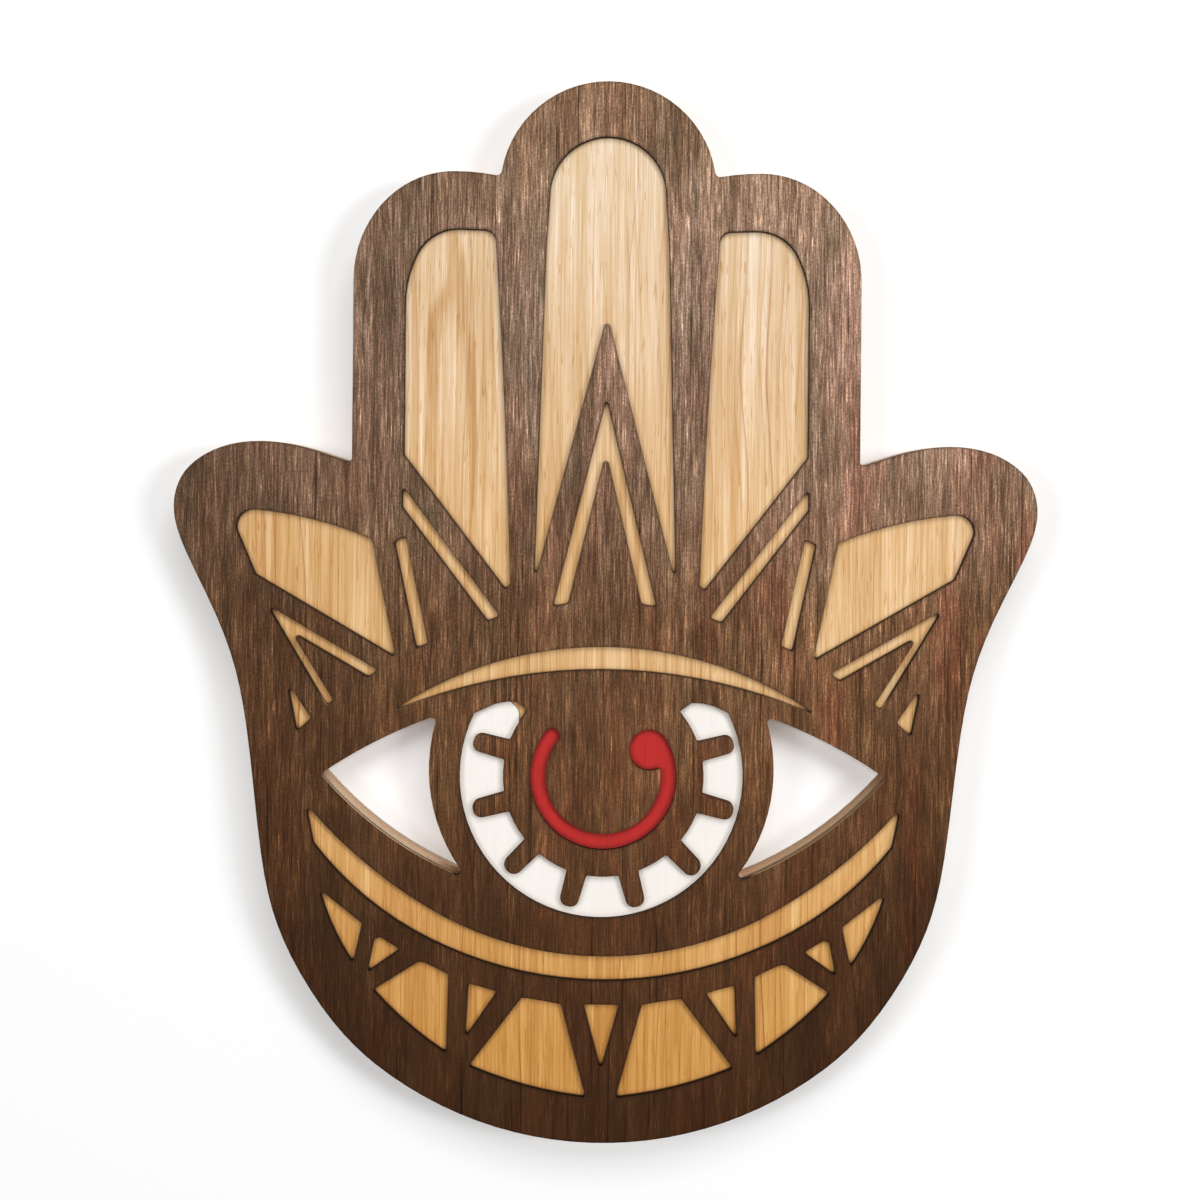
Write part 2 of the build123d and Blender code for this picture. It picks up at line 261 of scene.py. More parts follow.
def make_ring_lines():
    """The growth rings of a board: lines that run up it, wander and change their distance."""
    tree, start, end = group(
        "growth ring lines",
        [("Vector", VECTOR, None), ("Spacing", FLOAT, 0.0035), ("Wander", FLOAT, 0.004),
         ("Waves", FLOAT, 12.0), ("Sharpness", FLOAT, 4.0), ("Seed", FLOAT, 0.0)],
        ["Line", "Band"],
    )
    waves_across, crowd_pace, crowd_amount, line_peak = 22.0, 0.35, 2.2, 0.94
    x, y, z = axes_of(tree, start.outputs["Vector"])
    seed = start.outputs["Seed"]
    across = calc(tree, "MULTIPLY_ADD", x, waves_across, seed)
    along = calc(tree, "MULTIPLY_ADD", z, start.outputs["Waves"], seed)
    sway = noise(tree, vector_of(tree, across, along, 0.0), "2D", Scale=1.0, Detail=1.0)
    moved = off_middle(tree, sway, start.outputs["Wander"], x)
    count = calc(tree, "DIVIDE", moved, start.outputs["Spacing"])
    crowd = noise(tree, calc(tree, "MULTIPLY_ADD", count, crowd_pace, seed), "1D", Scale=1.0, Detail=1.0)
    count = calc(tree, "MULTIPLY_ADD", crowd, crowd_amount, count)
    share = calc(tree, "FRACT", count)
    sharpened = calc(tree, "POWER", share, start.outputs["Sharpness"])
    tree.links.new(product(tree, sharpened, span(tree, share, 1.0, line_peak)), end.inputs["Line"])
    pick = add(tree, "ShaderNodeTexWhiteNoise", noise_dimensions="1D")
    feed(tree, pick.inputs["W"], calc(tree, "FLOOR", count))
    tree.links.new(pick.outputs["Value"], end.inputs["Band"])
    return tree


def make_cut_sides():
    """1 where a surface is the cut side of a board, and 0 on its front and back."""
    tree, _, end = group("cut sides", [], ["Side"])
    still_front, fully_side = 0.75, 0.45
    facing = axes_of(tree, add(tree, "ShaderNodeTexCoord").outputs["Normal"])
    tree.links.new(
        span(tree, calc(tree, "ABSOLUTE", facing["Y"]), still_front, fully_side), end.inputs["Side"])
    return tree


def make_plies():
    """The layers in a plywood edge: the cross-laid middle ply and the two glue lines beside it."""
    tree, start, end = group(
        "plies of the board",
        [("Vector", VECTOR, None), ("Front", FLOAT, 0.0), ("Thickness", FLOAT, 0.0032)],
        ["Middle", "Glue"],
    )
    half_middle_ply, soft_edge = 0.18, 0.01
    glue_reach, glue_core = 0.045, 0.015
    y = axes_of(tree, start.outputs["Vector"])["Y"]
    behind_front = calc(tree, "SUBTRACT", y, start.outputs["Front"])
    depth = calc(tree, "DIVIDE", behind_front, start.outputs["Thickness"])
    off = calc(tree, "ABSOLUTE", calc(tree, "SUBTRACT", depth, 0.5))
    middle = span(tree, off, half_middle_ply + soft_edge, half_middle_ply - soft_edge)
    tree.links.new(middle, end.inputs["Middle"])
    from_line = calc(tree, "ABSOLUTE", calc(tree, "SUBTRACT", off, half_middle_ply))
    tree.links.new(span(tree, from_line, glue_reach, glue_core), end.inputs["Glue"])
    return tree


def make_worn_rim():
    """How near a point lies to a sharp edge, broken up as wear is, and whether that edge faces inward."""
    tree, start, end = group(
        "worn rim",
        [("Vector", VECTOR, None), ("Width", FLOAT, 0.0006), ("Breaks", FLOAT, 700.0)],
        ["Rim", "Inward"],
    )
    still_flat, fully_rounded = 0.995, 0.8
    barely_inward, fully_inward = 0.04, 0.30
    bevel = add(tree, "ShaderNodeBevel", samples=6)
    feed(tree, bevel.inputs["Radius"], start.outputs["Width"])
    rounded = bevel.outputs["Normal"]
    flat = add(tree, "ShaderNodeNewGeometry").outputs["True Normal"]
    near = span(tree, vector_calc(tree, "DOT_PRODUCT", rounded, flat), still_flat, fully_rounded)
    patchy = noise(tree, start.outputs["Vector"], Scale=start.outputs["Breaks"], Detail=3.0)
    tree.links.new(product(tree, near, span(tree, patchy, 0.35, 0.65, 0.35, 1.0)), end.inputs["Rim"])
    middle = (0.0, 0.0, hand_low.z + char_and_shade_middle_share * hand_height)
    inward = vector_calc(tree, "NORMALIZE", vector_calc(tree, "SUBTRACT", middle, start.outputs["Vector"]))
    towards = vector_calc(tree, "DOT_PRODUCT", rounded, inward)
    tree.links.new(span(tree, towards, barely_inward, fully_inward), end.inputs["Inward"])
    return tree


def make_place():
    """How far up and how far to the right a point of the plaque lies, both from 0 to 1."""
    tree, start, end = group("place on the plaque", [("Vector", VECTOR, None)], ["Up", "Right"])
    x, y, z = axes_of(tree, start.outputs["Vector"])
    tree.links.new(span(tree, z, hand_low.z, hand_high.z), end.inputs["Up"])
    tree.links.new(span(tree, x, hand_low.x, hand_high.x), end.inputs["Right"])
    return tree


def make_specks():
    """Small round specks, few and far between."""
    tree, start, end = group(
        "small specks",
        [("Vector", VECTOR, None), ("Count", FLOAT, 400.0), ("Size", FLOAT, 0.12), ("Share", FLOAT, 0.2)],
        ["Speck"],
    )
    cells = add(tree, "ShaderNodeTexVoronoi", voronoi_dimensions="3D", feature="F1")
    feed(tree, cells.inputs["Vector"], start.outputs["Vector"])
    feed(tree, cells.inputs["Scale"], start.outputs["Count"])
    pick = add(tree, "ShaderNodeTexWhiteNoise", noise_dimensions="3D")
    tree.links.new(cells.outputs["Position"], pick.inputs["Vector"])
    chosen = calc(tree, "LESS_THAN", pick.outputs["Value"], start.outputs["Share"])
    round_spot = span(tree, cells.outputs["Distance"], start.outputs["Size"], 0.0)
    tree.links.new(product(tree, chosen, round_spot), end.inputs["Speck"])
    return tree


def make_eye_openings():
    """The two places at the corners of the eye where the plaque is cut right through."""
    tree, start, end = group("eye openings", [("Vector", VECTOR, None)], ["Inside"])
    x, y, z = axes_of(tree, start.outputs["Vector"])
    off = calc(tree, "ABSOLUTE", x)
    above_foot = calc(tree, "SUBTRACT", z, product(tree, off, eye_opening_slope))
    past_inner = span(tree, off, eye_opening_inner, eye_opening_inner + eye_opening_soft_inner_edge)
    short_of_outer = span(tree, off, eye_opening_outer, eye_opening_outer - eye_opening_soft_edge)
    past_foot = span(tree, above_foot, eye_opening_foot, eye_opening_foot + eye_opening_soft_edge)
    short_of_top = span(tree, z, eye_opening_top, eye_opening_top - eye_opening_soft_edge)
    along = product(tree, past_inner, short_of_outer)
    upright = product(tree, past_foot, short_of_top)
    tree.links.new(product(tree, along, upright), end.inputs["Inside"])
    return tree


def make_flame():
    """The figure where the growth rings close over the left finger: a ring drawn out along the board."""
    tree, start, end = group("flame figure", [("Vector", VECTOR, None)], ["Flame"])
    x, y, z = axes_of(tree, start.outputs["Vector"])
    streaks = vector_of(
        tree, product(tree, x, flame_ripples_across), product(tree, z, flame_ripples_along), 0.0)
    ripple = noise(tree, streaks, "2D", Scale=1.0, Detail=4.0)
    sway = noise(tree, product(tree, z, flame_sway_waves), "1D", Scale=1.0)
    middle = calc(tree, "MULTIPLY_ADD", sway, flame_sway, flame_across)
    wide = calc(tree, "DIVIDE", calc(tree, "SUBTRACT", x, middle), flame_half_width)
    tall = calc(tree, "DIVIDE", calc(tree, "SUBTRACT", z, flame_height), flame_half_height)
    squares = calc(tree, "ADD", calc(tree, "POWER", wide, 2.0), calc(tree, "POWER", tall, 2.0))
    reach = off_middle(tree, ripple, flame_ripple, calc(tree, "SQRT", squares))
    inner = calc(tree, "MAXIMUM", span(tree, reach, *flame_inner_fade), span(tree, z, *flame_top_fade))
    ring = product(tree, inner, span(tree, reach, *flame_outer_fade))
    tree.links.new(product(tree, ring, span(tree, z, *flame_foot_fade, 0.35, 1.0)), end.inputs["Flame"])
    return tree


grain = make_grain()
ring_lines = make_ring_lines()
cut_sides = make_cut_sides()
plies = make_plies()
worn_rim = make_worn_rim()
place = make_place()
specks = make_specks()
flame = make_flame()
eye_openings = make_eye_openings()


# Finishes

def finish(name, colour, roughness, metallic=0.0, specular=0.5, sheen=0.0):
    """A new material with its shader and Object coordinates, before its detail is added."""
    made = bpy.data.materials.new(name)
    made.use_nodes = True
    made.diffuse_color = colour
    made.roughness = roughness
    tree = made.node_tree
    shader = tree.nodes["Principled BSDF"]
    shader.inputs["Base Color"].default_value = colour
    shader.inputs["Roughness"].default_value = roughness
    shader.inputs["Metallic"].default_value = metallic
    shader.inputs["Specular IOR Level"].default_value = specular
    shader.inputs["Sheen Weight"].default_value = sheen
    where = add(tree, "ShaderNodeTexCoord").outputs["Object"]
    return made, tree, shader, where


def raise_surface(tree, shader, height, distance):
    made = add(tree, "ShaderNodeBump")
    made.inputs["Strength"].default_value = 1.0
    made.inputs["Distance"].default_value = distance
    feed(tree, made.inputs["Height"], height)
    tree.links.new(made.outputs["Normal"], shader.inputs["Normal"])


def corner_shade(tree, distance):
    """0 in a tight corner and 1 in the open, from the ambient occlusion over a short distance."""
    made = add(tree, "ShaderNodeAmbientOcclusion", samples=12)
    made.inputs["Distance"].default_value = distance
    return made.outputs["AO"]


def fibres(tree, where, **settings):
    return use(tree, grain, Vector=where, **settings)["Value"]


def rings(tree, where, **settings):
    return use(tree, ring_lines, Vector=where, **settings)


def stained_tone(tree, where, spot, fine):
    """The brown of the stain by height, partly its own and partly painted sheen that fades towards the
    bottom, lighter to the right as painted sheen, and lighter and darker with the grain and from place to
    place.
    """
    # Darker towards the bottom: partly the stain's own tone, partly painted sheen that is strongest high up
    tone = ramp(tree, spot["Up"], [
        (0.00, (0.039, 0.0146, 0.0048, 1)), (0.20, (0.058, 0.0225, 0.0083, 1)),
        (0.34, (0.122, 0.053, 0.0215, 1)), (0.49, (0.126, 0.061, 0.0285, 1)),
        (0.62, (0.177, 0.101, 0.0620, 1)), (0.80, (0.218, 0.135, 0.091, 1)),
        (1.00, (0.178, 0.100, 0.055, 1)),
    ])
    fine_strength, broad_strength, mottle_strength, patch_strength = 8.0, 3.6, 3.0, 2.6
    painted_sheen_right, darker_outward = 2.2, -4.4
    broad = fibres(tree, where, Across=320.0, Along=12.0, Seed=7.0, Detail=4.0)
    mottle = fibres(tree, where, Across=1500.0, Along=1100.0, Seed=77.0, Detail=2.0)
    patch = fibres(tree, where, Across=55.0, Along=14.0, Seed=21.0, Detail=2.0)
    amount = off_middle(tree, fine, fine_strength, 0.0)
    amount = off_middle(tree, broad, broad_strength, amount)
    amount = off_middle(tree, mottle, mottle_strength, amount)
    amount = product(tree, amount, span(tree, spot["Up"], 0.05, 0.45, 0.42, 1.0))
    amount = off_middle(tree, patch, patch_strength, amount)
    # Painted sheen: lighter towards the right, the more so higher up
    amount = off_middle(tree, spot["Right"], product(tree, spot["Up"], painted_sheen_right), amount)
    outward = calc(tree, "POWER", calc(tree, "SUBTRACT", spot["Right"], 0.5), 2.0)
    outward = product(tree, outward, span(tree, spot["Up"], 0.7, 0.3, 0.0, darker_outward))
    amount = calc(tree, "ADD", amount, outward)
    return tinted(tree, 1.0, tone, doubled(tree, amount, red=0.92, green=1.0, blue=1.08))


def with_warm_and_cool_patches(tree, where, spot, tone):
    """Ruddy patches, mostly to the right and low, and cool ones, mostly to the left."""
    ruddy, cool = (1.14, 0.84, 0.86, 1), (0.90, 1.03, 1.06, 1)
    blush = fibres(tree, where, Across=80.0, Along=22.0, Seed=33.0, Detail=3.0)
    warmth = product(
        tree, span(tree, spot["Right"], 0.2, 0.95, 0.2, 0.85), span(tree, spot["Up"], 0.8, 0.6, 0.4, 1.0))
    tone = tinted(tree, product(tree, span(tree, blush, 0.50, 0.66), warmth), tone, ruddy)
    coolness = span(tree, spot["Right"], 0.3, 0.8, 1.0, 0.35)
    return tinted(tree, product(tree, span(tree, blush, 0.48, 0.32), coolness), tone, cool)


def with_flecks_and_lines(tree, where, pore, tone):
    """Pale worn flecks, dark pores and the dark lines of the growth rings."""
    pale, dark_pore, dark_line = (2.4, 2.45, 2.35, 1), (0.33, 0.31, 0.33, 1), (0.36, 0.34, 0.36, 1)
    fleck = fibres(tree, where, Across=1700.0, Along=120.0, Seed=40.0, Detail=2.0)
    worn = fibres(tree, where, Across=130.0, Along=50.0, Seed=90.0, Detail=3.0)
    flecks = product(tree, span(tree, fleck, 0.56, 0.68), span(tree, worn, 0.42, 0.6))
    tone = tinted(tree, product(tree, flecks, 0.75), tone, pale)
    tone = tinted(tree, span(tree, pore, 0.67, 0.70, 0.0, 0.85), tone, dark_pore)
    ring = rings(tree, where, Spacing=0.0062, Wander=0.016, Waves=11.0, Sharpness=18.0, Seed=9.0)
    lines = product(tree, ring["Line"], span(tree, ring["Band"], 0.35, 1.0, 0.0, 1.9))
    return tinted(tree, lines, tone, dark_line)


def with_scorched_and_shaded_edges(tree, where, spot, cut_through, tone):
    """A soft brown halo and a char line along the edges, darkest as painted shade where they face the
    middle, which the eye's openings don't have.
    """
    halo_tint, char = (0.45, 0.42, 0.42, 1), (0.020, 0.010, 0.007, 1)
    burnt = calc(tree, "SUBTRACT", 1.0, cut_through)
    halo = use(tree, worn_rim, Vector=where, Width=0.0026, Breaks=160.0)["Rim"]
    halo = product(tree, halo, span(tree, spot["Up"], 0.15, 0.6, 0.7, 0.42))
    tone = tinted(tree, product(tree, halo, burnt), tone, halo_tint)
    # The char line, made darker as painted shade of the cut wall where the edge faces the middle of the hand
    rim = use(tree, worn_rim, Vector=where, Width=0.0019)
    line = product(tree, rim["Rim"], span(tree, rim["Inward"], 0.0, 1.0, 0.35, 0.95))
    return blend(tree, product(tree, line, burnt), tone, char)


def charred_walls(tree, where, fine, cut_through):
    """The cut sides of the face: burnt plies, and bare tan wood in the eye's openings."""
    char, middle_char = (0.016, 0.008, 0.005, 1), (0.009, 0.005, 0.0035, 1)
    brown_char, bare_tan = (0.032, 0.017, 0.011, 1), (0.62, 0.42, 0.24, 1)
    layer = use(tree, plies, Vector=where, Front=face_low.y, Thickness=face_high.y - face_low.y)
    tone = blend(tree, layer["Middle"], char, middle_char)
    tone = blend(tree, span(tree, fine, 0.35, 0.7, 0.0, 0.5), tone, brown_char)
    return blend(tree, product(tree, cut_through, 0.9), tone, bare_tan)


def make_stained_wood():
    """Dark stained plywood: painted sheen, grain, patches, flecks, growth rings, scorched edges with painted
    shade, and charred walls.
    """
    made, tree, shader, where = finish("stained_wood", (0.16, 0.08, 0.045, 1.0), 0.5, specular=0.12)
    shader.inputs["Specular Tint"].default_value = (1.0, 0.66, 0.46, 1.0)
    spot = use(tree, place, Vector=where)
    side = use(tree, cut_sides)["Side"]
    cut_through = use(tree, eye_openings, Vector=where)["Inside"]
    fine = fibres(tree, where, Across=1500.0, Along=75.0, Detail=4.0, Roughness=0.7)
    pore = fibres(tree, where, Across=950.0, Along=9.0, Seed=63.0, Detail=1.5)
    tone = stained_tone(tree, where, spot, fine)
    tone = with_warm_and_cool_patches(tree, where, spot, tone)
    tone = with_flecks_and_lines(tree, where, pore, tone)
    tone = with_scorched_and_shaded_edges(tree, where, spot, cut_through, tone)
    walls = charred_walls(tree, where, fine, cut_through)
    tree.links.new(blend(tree, side, tone, walls), shader.inputs["Base Color"])
    gloss = calc(tree, "MULTIPLY_ADD", fine, 0.3, 0.34)
    tree.links.new(between(tree, side, gloss, 0.8), shader.inputs["Roughness"])
    height = calc(tree, "MULTIPLY_ADD", span(tree, pore, 0.66, 0.71), -0.8, fine)
    raise_surface(tree, shader, height, distance=0.00010)
    return made


def oak_tone(tree, where, spot, fine, ring):
    """The gold of the oak by height, partly its own and partly painted sheen that fades towards the bottom,
    lighter to the right as painted sheen, with its grain, pores, growth rings and flame figure.
    """
    reddish = (0.50, 0.24, 0.14, 1)
    fine_strength, broad_strength, cloud_strength = 1.8, 1.5, 0.8
    line_depth, pore_depth, flame_depth = -0.8, -0.5, -0.6
    # Lighter high up and darker towards the bottom: partly the oak's own tone, partly painted sheen from
    # above
    tone = ramp(tree, spot["Up"], [
        (0.10, (0.57, 0.280, 0.070, 1)), (0.22, (0.63, 0.335, 0.108, 1)), (0.45, (0.68, 0.420, 0.190, 1)),
        (0.58, (0.68, 0.425, 0.203, 1)), (0.75, (0.715, 0.500, 0.305, 1)), (0.92, (0.735, 0.555, 0.370, 1)),
    ])
    broad = fibres(tree, where, Across=300.0, Along=10.0, Seed=31.0, Detail=4.0)
    cloud = fibres(tree, where, Across=60.0, Along=16.0, Seed=71.0, Detail=3.0)
    pore = fibres(tree, where, Across=1500.0, Along=110.0, Seed=51.0, Detail=1.0)
    amount = off_middle(tree, fine, fine_strength, 0.0)
    amount = off_middle(tree, broad, broad_strength, amount)
    amount = off_middle(tree, cloud, cloud_strength, amount)
    # Painted sheen: lighter towards the right, the more so lower down
    amount = off_middle(tree, spot["Right"], span(tree, spot["Up"], 0.75, 0.55, 0.1, 0.4), amount)
    soft_lines = product(tree, ring["Line"], span(tree, ring["Band"], 0.0, 1.0, 0.25, 0.9))
    amount = calc(tree, "MULTIPLY_ADD", soft_lines, line_depth, amount)
    amount = calc(tree, "MULTIPLY_ADD", span(tree, pore, 0.64, 0.72), pore_depth, amount)
    amount = calc(tree, "MULTIPLY_ADD", use(tree, flame, Vector=where)["Flame"], flame_depth, amount)
    tone = tinted(tree, 1.0, tone, doubled(tree, amount, red=0.6, green=1.0, blue=1.7))
    thin = rings(tree, where, Spacing=0.0042, Wander=0.012, Waves=9.0, Sharpness=16.0, Seed=17.0)
    thin_lines = product(tree, thin["Line"], span(tree, thin["Band"], 0.25, 1.0))
    thin_lines = product(tree, thin_lines, span(tree, spot["Up"], 0.45, 0.85, 2.2, 1.3))
    return tinted(tree, thin_lines, tone, reddish)


def with_shaded_foot(tree, tone):
    """Painted shade: darker towards the walls of the windows, near black in tight corners and where the wood
    meets them.
    """
    painted_wall_shade, painted_tip_shade, char = (0.42, 0.28, 0.16, 1), (0.024, 0.013, 0.007, 1), (0.020, 0.011, 0.006, 1)
    # Painted shade towards the walls and in the tips of the windows
    shade = corner_shade(tree, distance=0.0024)
    tone = tinted(tree, span(tree, shade, 0.95, 0.45, 0.0, 0.5), tone, painted_wall_shade)
    tone = blend(tree, span(tree, shade, 0.46, 0.28, 0.0, 0.9), tone, painted_tip_shade)
    # Painted shadow: near black along the foot of the window walls
    foot = corner_shade(tree, distance=0.0009)
    return blend(tree, span(tree, foot, 0.86, 0.62, 0.0, 0.95), tone, char)


def oak_edge(tree, where, fine):
    """The cut sides of the panel, with the darker middle ply and its glue lines."""
    outer_ply, middle_ply, glue = (0.46, 0.31, 0.17, 1), (0.30, 0.18, 0.09, 1), (0.09, 0.05, 0.03, 1)
    layer = use(tree, plies, Vector=where, Front=panel_low.y, Thickness=panel_high.y - panel_low.y)
    tone = blend(tree, layer["Middle"], outer_ply, middle_ply)
    tone = blend(tree, product(tree, layer["Glue"], 0.6), tone, glue)
    return tinted(tree, 1.0, tone, span(tree, fine, 0.3, 0.7, 0.7, 1.2))


def make_natural_oak():
    """Pale oak under a clear finish, shaded at the foot of the windows, with its plies on the cut sides."""
    made, tree, shader, where = finish("natural_oak", (0.70, 0.44, 0.20, 1.0), 0.55, specular=0.2)
    shader.inputs["Specular Tint"].default_value = (1.0, 0.86, 0.66, 1.0)
    spot = use(tree, place, Vector=where)
    side = use(tree, cut_sides)["Side"]
    fine = fibres(tree, where, Across=1500.0, Along=18.0, Seed=11.0, Detail=4.0, Roughness=0.65)
    ring = rings(tree, where, Spacing=0.0040, Wander=0.014, Waves=7.0, Sharpness=6.0, Seed=3.0)
    tone = with_shaded_foot(tree, oak_tone(tree, where, spot, fine, ring))
    tree.links.new(blend(tree, side, tone, oak_edge(tree, where, fine)), shader.inputs["Base Color"])
    tree.links.new(calc(tree, "MULTIPLY_ADD", fine, 0.3, 0.42), shader.inputs["Roughness"])
    height = calc(tree, "MULTIPLY_ADD", ring["Line"], -0.5, fine)
    raise_surface(tree, shader, height, distance=0.00006)
    return made


def make_paint(name, colour, shadow, streak, shade_reach, shade_depth):
    """Matt brush paint over fine wood: faint upright grain, specks, and painted shade at the foot of the cut
    edges.
    """
    speck_tint, cut_side = (0.8, 0.76, 0.7, 1), (0.07, 0.04, 0.025, 1)
    made, tree, shader, where = finish(name, colour, 0.6, specular=0.12)
    side = use(tree, cut_sides)["Side"]
    fine = fibres(tree, where, Across=1200.0, Along=60.0, Seed=5.0, Detail=3.0)
    broad = fibres(tree, where, Across=140.0, Along=22.0, Seed=15.0, Detail=3.0)
    spots = use(tree, specks, Vector=where, Count=420.0, Size=0.16, Share=0.05)["Speck"]
    tone = blend(tree, span(tree, fine, 0.35, 0.75, 0.0, streak), colour, shadow)
    tone = blend(tree, span(tree, broad, 0.4, 0.8, 0.0, streak), tone, shadow)
    tone = tinted(tree, product(tree, spots, streak), tone, speck_tint)
    # Painted shade: darker at the foot of the cut edges
    shade = corner_shade(tree, distance=shade_reach)
    tone = blend(tree, span(tree, shade, 0.95, 0.45, 0.0, shade_depth), tone, shadow)
    tone = blend(tree, product(tree, side, 0.85), tone, cut_side)
    tree.links.new(tone, shader.inputs["Base Color"])
    tree.links.new(calc(tree, "MULTIPLY_ADD", fine, 0.2, 0.5), shader.inputs["Roughness"])
    height = calc(tree, "MULTIPLY_ADD", spots, 0.6, fine)
    raise_surface(tree, shader, height, distance=0.00006)
    return made


def make_core_board():
    """Raw fibreboard, paler towards the front on its cut sides and darker towards the back as painted shade,
    with fibres and a worn rim.
    """
    flat_side, dark_fibre, rim_brown = (0.55, 0.36, 0.205, 1), (0.17, 0.10, 0.055, 1), (0.14, 0.08, 0.045, 1)
    made, tree, shader, where = finish("core_board", (0.48, 0.31, 0.17, 1.0), 0.85)
    side = use(tree, cut_sides)["Side"]
    fluff = noise(tree, where, Scale=900.0, Detail=5.0, Roughness=0.7)
    cloud = noise(tree, where, Scale=45.0, Detail=3.0)
    depth = span(tree, axes_of(tree, where)["Y"], core_low.y, core_high.y)
    # Painted shade: the cut sides grow darker towards the back, deeper in the openings
    painted_depth_shade = ramp(tree, depth, [
        (0.0, (0.85, 0.55, 0.29, 1)), (0.35, (0.76, 0.47, 0.24, 1)), (0.7, (0.64, 0.39, 0.20, 1)),
        (1.0, (0.54, 0.33, 0.17, 1)),
    ])
    tone = blend(tree, side, flat_side, painted_depth_shade)
    tone = tinted(tree, 1.0, tone, span(tree, fluff, 0.3, 0.7, 0.8, 1.2))
    tone = tinted(tree, 1.0, tone, span(tree, cloud, 0.3, 0.7, 0.9, 1.08))
    loose = use(tree, specks, Vector=where, Count=650.0, Size=0.3, Share=0.16)["Speck"]
    tone = blend(tree, product(tree, loose, 0.5), tone, dark_fibre)
    rim = use(tree, worn_rim, Vector=where, Width=0.0012, Breaks=420.0)["Rim"]
    tone = blend(tree, product(tree, rim, 0.45), tone, rim_brown)
    tree.links.new(tone, shader.inputs["Base Color"])
    tree.links.new(span(tree, fluff, 0.3, 0.7, 0.95, 0.75), shader.inputs["Roughness"])
    raise_surface(tree, shader, fluff, distance=0.00025)
    return made


def make_hanger_steel():
    """Zinc plated steel: fine brushing, spangle, a bright rim, painted shade in the corners and dull spots.
    """
    zinc, grey_zinc, bright_zinc = (0.44, 0.44, 0.42, 1), (0.36, 0.36, 0.37, 1), (0.60, 0.60, 0.58, 1)
    painted_corner_shade, dull_spot = (0.045, 0.04, 0.035, 1), (0.24, 0.22, 0.19, 1)
    made, tree, shader, where = finish("hanger_steel", (0.42, 0.42, 0.40, 1.0), 0.45, metallic=1.0)
    side = use(tree, cut_sides)["Side"]
    brushed = fibres(tree, where, Across=5200.0, Along=150.0, Seed=2.0, Detail=3.0)
    spangle = add(tree, "ShaderNodeTexVoronoi", voronoi_dimensions="3D", feature="F1")
    feed(tree, spangle.inputs["Vector"], where)
    spangle.inputs["Scale"].default_value = 700.0
    speckled = span(tree, spangle.outputs["Distance"], 0.1, 0.9)
    tone = blend(tree, speckled, zinc, grey_zinc)
    tone = tinted(tree, 1.0, tone, span(tree, brushed, 0.3, 0.7, 0.88, 1.1))
    rim = use(tree, worn_rim, Vector=where, Width=0.0003, Breaks=1800.0)["Rim"]
    tone = blend(tree, product(tree, rim, 0.6), tone, bright_zinc)
    # Painted shade: dark in the corners, such as around the screw heads
    in_corner = span(tree, corner_shade(tree, distance=0.0008), 0.97, 0.55, 0.0, 0.85)
    tone = blend(tree, in_corner, tone, painted_corner_shade)
    dull = use(tree, specks, Vector=where, Count=900.0, Size=0.25, Share=0.1)["Speck"]
    tone = blend(tree, product(tree, dull, 0.4), tone, dull_spot)
    tree.links.new(tone, shader.inputs["Base Color"])
    rough = calc(tree, "MULTIPLY_ADD", dull, 0.2, span(tree, brushed, 0.3, 0.7, 0.38, 0.52))
    tree.links.new(calc(tree, "MULTIPLY_ADD", side, 0.1, rough), shader.inputs["Roughness"])
    raise_surface(tree, shader, brushed, distance=0.00001)
    return made


def make_pad_felt():
    """Dark felt: fine hairs that lie in clumps."""
    dark_hair, grey_hair = (0.035, 0.033, 0.031, 1), (0.105, 0.10, 0.096, 1)
    made, tree, shader, where = finish("pad_felt", (0.055, 0.052, 0.05, 1.0), 0.95, sheen=0.4)
    hair = noise(tree, where, Scale=2300.0, Detail=4.0, Distortion=1.2)
    clump = noise(tree, where, Scale=320.0)
    tone = blend(tree, span(tree, hair, 0.35, 0.65), dark_hair, grey_hair)
    tone = tinted(tree, 1.0, tone, span(tree, clump, 0.3, 0.7, 0.8, 1.2))
    tree.links.new(tone, shader.inputs["Base Color"])
    tree.links.new(span(tree, hair, 0.3, 0.7, 1.0, 0.85), shader.inputs["Roughness"])
    raise_surface(tree, shader, hair, distance=0.0003)
    return made


steel = make_hanger_steel()
felt = make_pad_felt()
finishes = {
    "face_fretwork": make_stained_wood(),
    "oak_panel": make_natural_oak(),
    "iris_white_plate": make_paint(
        "white_paint", (0.88, 0.84, 0.79, 1), shadow=(0.62, 0.53, 0.46, 1),
        streak=0.10, shade_reach=0.0026, shade_depth=0.65),
    "pupil_red_plate": make_paint(
        "red_paint", (0.49, 0.0210, 0.0175, 1), shadow=(0.15, 0.007, 0.005, 1),
        streak=0.16, shade_reach=0.0024, shade_depth=0.85),
    "backing_core": make_core_board(),
    "keyhole_hanger_plate": steel,
    "hanger_screws": steel,
    "wall_pad_upper_left": felt,
    "wall_pad_upper_right": felt,
    "wall_pad_lower_left": felt,
    "wall_pad_lower_right": felt,
}
for name, made in finishes.items():
    for slot in nodes[name].material_slots:
        slot.material = made


# The white wall behind and the pale floor

